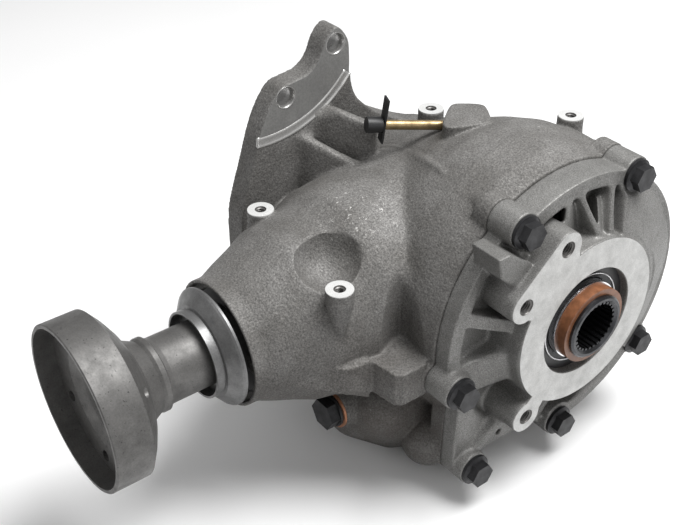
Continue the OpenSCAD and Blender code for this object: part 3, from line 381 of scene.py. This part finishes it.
def cast_body(name, node, voxel_mm, extras, balls, rough_mm, lump_mm, dents=(), spare=None):
    """Casting grown from a node and extras: fine even mesh, rounded edges, dents, blends where balls say,
    and a skin that is uneven by rough_mm in lumps of lump_mm."""
    obj = new_object(name, joined(name, nodes[node].data, extras))
    grid = obj.modifiers.new("grid", "REMESH")
    grid.mode = "VOXEL"
    grid.voxel_size = voxel_mm * MM * 1
    round_off = obj.modifiers.new("round", "SMOOTH")
    round_off.factor = 0.5
    round_off.iterations = 5
    baked(obj)
    if dents:
        dented(obj, dents, spare)
    group = obj.vertex_groups.new(name="blend")
    weight = soft_weights(mesh_points(obj.data), balls)
    for level in range(1, 11):
        chosen = np.nonzero((weight > (level - 1) / 10) & (weight <= level / 10))[0]
        group.add(chosen.tolist(), level / 10, "REPLACE")
    blend = obj.modifiers.new("blend", "SMOOTH")
    blend.factor = 0.5
    blend.iterations = BLEND_ROUNDS
    blend.vertex_group = "blend"
    skin = bpy.data.textures.new(name + "_skin", "CLOUDS")
    skin.noise_scale = lump_mm * MM
    skin.noise_depth = 2
    shift = obj.modifiers.new("skin", "DISPLACE")
    shift.texture = skin
    shift.texture_coords = "LOCAL"
    shift.strength = rough_mm * MM
    shift.mid_level = 0.5
    baked(obj)
    obj.data.materials.clear()
    obj.data.materials.append(looks[slots[node]])
    for face in obj.data.polygons:
        face.use_smooth = True
    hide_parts(node)
    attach(obj, "case")
    return obj


def polished(obj, look):
    """Gives a small piece of the case its look and smooth shading."""
    obj.data.materials.append(look)
    for face in obj.data.polygons:
        face.use_smooth = True
    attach(obj, "case")


def crisp_faces(name, node, wanted, lift_mm, inset_mm, deep_mm, look):
    """Machined faces: thin lids cut from a node's own flat faces that pass wanted(centre, normal)."""
    lid = bmesh.new()
    lid.from_mesh(nodes[node].data)
    bmesh.ops.remove_doubles(lid, verts=lid.verts, dist=1e-6)
    drop = [f for f in lid.faces if not wanted(f.calc_center_median() / MM, f.normal)]
    bmesh.ops.delete(lid, geom=drop, context="FACES")
    ring = bmesh.ops.inset_region(lid, faces=lid.faces[:], thickness=inset_mm * MM, use_boundary=True,
                                  use_even_offset=True)["faces"]
    bmesh.ops.delete(lid, geom=ring, context="FACES")
    lid.normal_update()
    for vert in lid.verts:
        vert.co += vert.normal * lift_mm * MM
    mesh = bpy.data.meshes.new(name)
    lid.to_mesh(mesh)
    lid.free()
    obj = new_object(name, mesh)
    body = obj.modifiers.new("body", "SOLIDIFY")
    body.thickness = deep_mm * MM
    body.offset = -1
    baked(obj)
    obj.data.materials.clear()
    obj.data.materials.append(look)
    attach(obj, "case")


def threaded(name, mouth, axis, radius, deep, pitch, rim):
    """Turned lining of a tapped hole: chamfered mouth and a row of thread grooves, its dark finish painted
    shade inside the hole.
    """
    section = [(radius + rim, 0.03), (radius + 0.5 * rim, 0.03), (radius - 0.15, -0.7)]
    turns = int(deep / pitch)
    for i in range(turns):
        h = -1.2 - i * pitch
        section += [(radius - 0.95, h), (radius - 0.95, h - 0.15 * pitch), (radius - 0.2, h - 0.55 * pitch)]
    section += [(radius + 0.6, -1.2 - turns * pitch), (radius + 0.6, -1.5), (radius + rim, -1.2)]
    obj = lathe(name, mouth, axis, section, 40)
    obj.data.materials.append(thread_painted_shade)
    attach(obj, "case")


slots = {part["node"]: part["material_slot"] for part in frame["record"]["subparts"]}
mounts = {mount["name"]: mount for mount in frame["record"]["mounts"]}

# Cast pieces that stand for the housing and the cover

ridge = tube("ridge", [
    (34, -32, 62.5), (48, -33, 67.5), (66, -37, 73), (88, -43, 80), (104, -47, 83.6), (113, -49, 84.3),
    (120, -52, 82)], [2.0, 3.2, 3.6, 3.8, 3.8, 3.4, 1.6])

# Outer edge of the ledge below the snout, as x, y and the height of its foot
ledge_edge = [(113.6, -187.2, -8.6), (125.1, -160.7, -18.9), (140.8, -126.9, -33.7)]
ledge_top, ledge_root_top, ledge_deep = -4, 2, 24
ledge = lump(
    "ledge",
    [(x, y, z) for x, y, foot in ledge_edge for z in (ledge_top, foot)]
    + [(x - ledge_deep, y, z) for x, y, foot in ledge_edge for z in (ledge_root_top, foot)])

# Balls of (x, y, z, radius) in which the skin is blended, and the pocket behind the front boss
housing_blend = [
    (72, -50, 75, 18), (84, -60, 73, 22), (95, -66, 71, 26), (108, -76, 64, 28), (118, -84, 54, 28),
    (128, -92, 46, 28), (141, -89, 50, 30), (24, -78, 78, 30), (30, -62, 84, 24), (110, -154, 42, 14),
    (90, -134, 56, 10), (96, -116, 56, 10), (112, -108, 52, 10)]
pocket = (110, -134, 60, 22.5)
front_boss = (129, -141, 9.6)
cast_body("cast_housing_body", "main_housing", 0.8, [ridge, ledge], housing_blend, rough_mm=0.2, lump_mm=4.0,
          dents=[pocket], spare=front_boss)

cover_x = 163.5
bulge = lathe("bulge", (cover_x, 30, 4), ACROSS, [
    (68.5, 0.0), (68.5, 11.5), (67.5, 14.5), (65.0, 18.0), (60.0, 21.0), (50.5, 25.0), (36.5, 30.5),
    (36.5, 26.0), (50.0, 20.0), (58.0, 16.0), (62.0, 12.0), (63.0, 0.0)], 48, (-46, 58), ALONG_Y)
block = lump("block", at_each_x(
    (168, 191), [(-77, 75), (-68, 75), (-52, 64), (-44, 55), (-48, 47), (-62, 49), (-74, 61)]))
recess_x = 172
gusset = lump("gusset", at_each_x((recess_x,), [(17, 41), (16, 73), (28, 71), (48, 28)])
              + [(183, 10, 81), (193, 6, 58)])
rib_left = lump("rib_left", at_each_x((recess_x,), [(-9, 54), (-8, 76), (6, 75), (14, 42)])
                + at_each_x((184,), [(-19, 67), (-18, 86), (-14, 86), (-11, 60)]))
cover_blend = [
    (178, -62, -16, 34), (176, -58, 44, 20), (176, 2, 72, 24), (176, 26, 70, 22), (176, -60, -66, 26),
    (176, -20, -72, 22), (176, 28, -66, 22)]
cast_body("cast_cover_body", "side_cover", 0.7, [bulge, block, gusset, rib_left], cover_blend, rough_mm=0.08,
          lump_mm=4.0)


# Machined faces and tapped holes

pad_x = 197.0
ear_x = 15.8
ear_low_z = 60
same_plane = 0.05
crisp_faces("pad_face", "side_cover", lambda c, n: n.x > 0.99 and abs(c.x - pad_x) < same_plane,
            0.06, 0.45, 1.2, machined)
crisp_faces("ear_face", "main_housing",
            lambda c, n: n.x > 0.99 and abs(c.x - ear_x) < same_plane and c.z > ear_low_z,
            0.08, 0.5, 0.8, spot_face)

# The fillet at the foot of the ear's milled face is turned round a point above the ear; it catches light from
# above, and its pale finish adds a painted highlight
polished(lathe("ear_fillet", (0, -111, 168), ACROSS, [
    (77.5, 15.85), (80.0, 16.05), (81.8, 16.4), (83.0, 16.9), (83.7, 17.6), (83.9, 17.4), (83.9, 15.2),
    (77.5, 15.2)], 48, (-96.5, -39.5), ALONG_Y), painted_light_cut)
# The ear holes' walls get the pale cut finish as painted light, so that their insides look lit
for name in ("ear_hole_top", "ear_hole_low"):
    y, z = (v / MM for v in mounts[name]["pos_m"][1:])
    polished(lathe(name + "_wall", (ear_x, y, z), ACROSS, [
        (7.6, 0.10), (7.2, 0.10), (6.35, -0.9), (6.35, -14.5), (6.9, -14.5), (6.9, -1.2), (7.6, -0.6)],
        40), painted_light_cut)

for i in (1, 2, 3):
    hole = mounts["pad_thread_%d" % i]
    mouth = [v / MM for v in hole["pos_m"]]
    threaded("pad_thread_%d" % i, mouth, hole["axis"], radius=5.0, deep=16, pitch=1.5, rim=0.4)

boss_reach = 14
for i in (1, 2, 3, 4):
    hole = mounts["boss_thread_%d" % i]
    top = Vector(hole["pos_m"]) / MM
    crisp_faces("boss_face_%d" % i, "main_housing",
                lambda c, n: n.z > 0.99 and (c - top).length < boss_reach and abs(c.z - top.z) < same_plane,
                0.10, 0.3, 0.8, white_face)
    threaded("boss_thread_%d" % i, top, hole["axis"], radius=3.4, deep=14, pitch=1.25, rim=0.3)


# Camera, floor and light

FULL_FRAME_MM = 36
camera = bpy.data.objects.new("camera", bpy.data.cameras.new("camera"))
camera.data.lens = 55.99
camera.data.sensor_width = FULL_FRAME_MM
camera.data.clip_start = 0.01
camera.data.clip_end = 50
bpy.context.scene.collection.objects.link(camera)
camera_right = (0.61168, 0.79110, -0.00226)
camera_up = (-0.45231, 0.35207, 0.81943)
camera_back = (0.64905, -0.50020, 0.57318)
camera_place = Vector((530.109, -442.638, 418.585)) * MM
turn = Matrix((camera_right, camera_up, camera_back)).transposed().to_4x4()
camera.matrix_world = Matrix.Translation(camera_place) @ turn
bpy.context.scene.camera = camera


def any_of(tree, rays, kinds):
    """1 where the ray is any of the kinds, else 0."""
    found = rays.outputs[kinds[0]]
    for kind in kinds[1:]:
        found = put(tree, "ShaderNodeMath", {0: found, 1: rays.outputs[kind]}, operation="MAXIMUM").outputs[0]
    return found


# The floor looks pale but sends little light back up
reach = 6.0
floor_gap = 0.0005
low_z = min(cad_box[0][2], cad_box[1][2])
corners = [(-reach, -reach, 0), (reach, -reach, 0), (reach, reach, 0), (-reach, reach, 0)]
floor_mesh = bpy.data.meshes.new("floor")
floor_mesh.from_pydata(corners, [], [(0, 1, 2, 3)])
floor = bpy.data.objects.new("floor", floor_mesh)
floor.location = (0, 0, low_z - floor_gap)
bpy.context.scene.collection.objects.link(floor)
floor_mat, floor_tree, floor_shader = new_material("floor_white", (0.93, 0.93, 0.93), 0.9, 0.0)
floor_grain = ramp(floor_tree, noise(floor_tree, 300, 2, 0.5), [(0.3, 0.92), (0.7, 0.94)])
floor_seen = any_of(floor_tree, put(floor_tree, "ShaderNodeLightPath"), (
    "Is Camera Ray", "Is Transmission Ray", "Is Glossy Ray"))
floor_tone = mix(floor_tree, floor_seen, (0.22, 0.22, 0.22), floor_grain)
floor_tree.links.new(floor_tone, floor_shader.inputs["Base Color"])
floor_shader.inputs["Specular IOR Level"].default_value = 0.1
floor_mesh.materials.append(floor_mat)

world = bpy.data.worlds.new("studio")
bpy.context.scene.world = world
world.use_nodes = True
sky = world.node_tree
sky.nodes.clear()
sky_seen = any_of(sky, put(sky, "ShaderNodeLightPath"), ("Is Camera Ray", "Is Transmission Ray"))
strength = put(sky, "ShaderNodeMapRange", {"Value": sky_seen, "To Min": 0.34, "To Max": 1.0})
air = put(sky, "ShaderNodeBackground", {"Color": (1, 1, 1, 1), "Strength": strength.outputs["Result"]})
out = put(sky, "ShaderNodeOutputWorld")
sky.links.new(air.outputs[0], out.inputs["Surface"])


def lamp(name, place, aim, size, watts):
    """Square area lamp at a place, turned towards aim, all in metres."""
    data = bpy.data.lights.new(name, "AREA")
    data.size = size
    data.energy = watts
    obj = bpy.data.objects.new(name, data)
    obj.location = place
    obj.rotation_euler = (Vector(aim) - Vector(place)).to_track_quat("-Z", "Y").to_euler()
    bpy.context.scene.collection.objects.link(obj)


middle = (0.09, -0.07, 0.0)
lamp("key", (0.45, 0.30, 1.40), middle, 0.9, 33)
lamp("fill_left", (-0.3, -1.2, 0.9), middle, 0.8, 2.0)
lamp("fill_right", (1.35, -0.2, 0.55), middle, 0.8, 2.0)

bpy.context.scene.view_settings.view_transform = "Standard"
